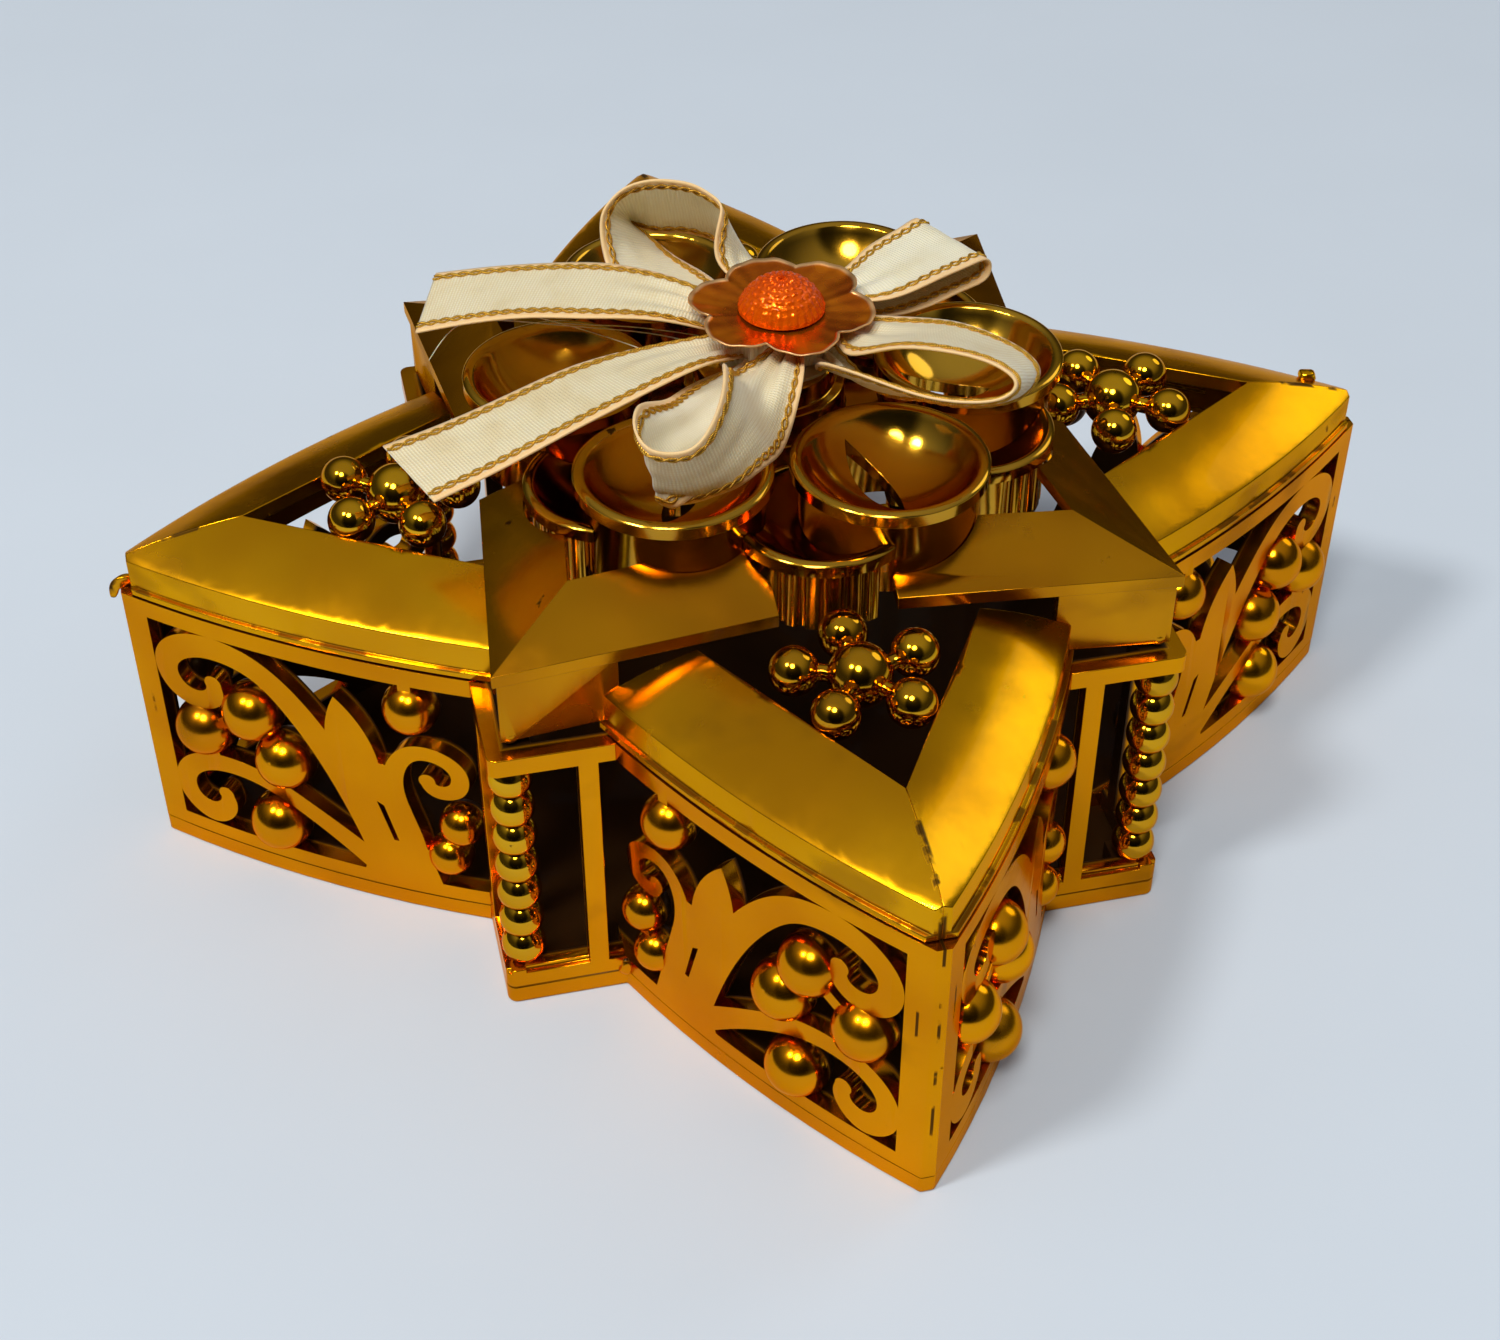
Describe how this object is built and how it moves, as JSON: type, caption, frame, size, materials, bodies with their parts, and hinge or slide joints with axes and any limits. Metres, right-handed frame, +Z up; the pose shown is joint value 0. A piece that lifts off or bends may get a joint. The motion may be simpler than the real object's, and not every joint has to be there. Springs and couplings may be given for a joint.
{
  "type": "star-shaped gift box",
  "caption": "Star-shaped openwork gift box in gold-coloured plastic, with a lift-off lid, a petal rosette and a ribbon bow with a foil flower.",
  "frame": {"origin": "middle of the star on the underside of the floor", "axes": "+Z up out of the open top, +X towards the right-hand long point, -Y towards the long point that faces the viewer"},
  "size_m": [0.12, 0.12, 0.0556],
  "materials": {
    "gold_side": "gloss",
    "gold_top": "gloss",
    "gold_bead": "gloss",
    "ribbon": "satin",
    "glue": "satin",
    "foil": "gloss",
    "dome": "gloss"
  },
  "bodies": {
    "base": {"base_floor": "gold_side", "panel_right_point_back_side": "gold_side", "panel_back_point_left_side": "gold_side", "panel_left_point_front_side": "gold_side", "panel_front_point_right_side": "gold_side", "panel_right_point_front_side": "gold_side", "panel_back_point_right_side": "gold_side", "panel_left_point_back_side": "gold_side", "panel_front_point_left_side": "gold_side", "corner_frame_back_right": "gold_side", "corner_frame_back_left": "gold_side", "corner_frame_front_left": "gold_side", "corner_frame_front_right": "gold_side", "bead_column_back_right": "gold_bead", "bead_column_back_left": "gold_bead", "bead_column_front_left": "gold_bead", "bead_column_front_right": "gold_bead"},
    "lid": {"point_rail_right_point_back_side": "gold_top", "point_rail_back_point_left_side": "gold_top", "point_rail_left_point_front_side": "gold_top", "point_rail_front_point_right_side": "gold_top", "point_rail_right_point_front_side": "gold_top", "point_rail_back_point_right_side": "gold_top", "point_rail_left_point_back_side": "gold_top", "point_rail_front_point_left_side": "gold_top", "bead_cluster_right": "gold_bead", "bead_cluster_back": "gold_bead", "bead_cluster_left": "gold_bead", "bead_cluster_front": "gold_bead", "corner_plate_back_right": "gold_top", "corner_plate_back_left": "gold_top", "corner_plate_front_left": "gold_top", "corner_plate_front_right": "gold_top", "upper_petal_1": "gold_top", "upper_petal_2": "gold_top", "upper_petal_3": "gold_top", "upper_petal_4": "gold_top", "upper_petal_5": "gold_top", "upper_petal_6": "gold_top", "lower_petal_1": "gold_top", "lower_petal_2": "gold_top", "lower_petal_3": "gold_top", "lower_petal_4": "gold_top", "lower_petal_5": "gold_top", "lower_petal_6": "gold_top", "rosette_hub": "gold_top", "glue_pad": "glue", "bow_loop_back_left": "ribbon", "bow_loop_back_right": "ribbon", "bow_loop_front_right": "ribbon", "bow_loop_front_left": "ribbon", "ribbon_tail_back": "ribbon", "ribbon_tail_front": "ribbon", "bow_knot": "ribbon", "flower_foil": "foil", "flower_dome": "dome"}
  },
  "joints": [
    {"name": "lid_lift", "type": "slide", "parent": "base", "child": "lid", "axis": [0, 0, 1], "range_m": [0, 0.06]}
  ]
}
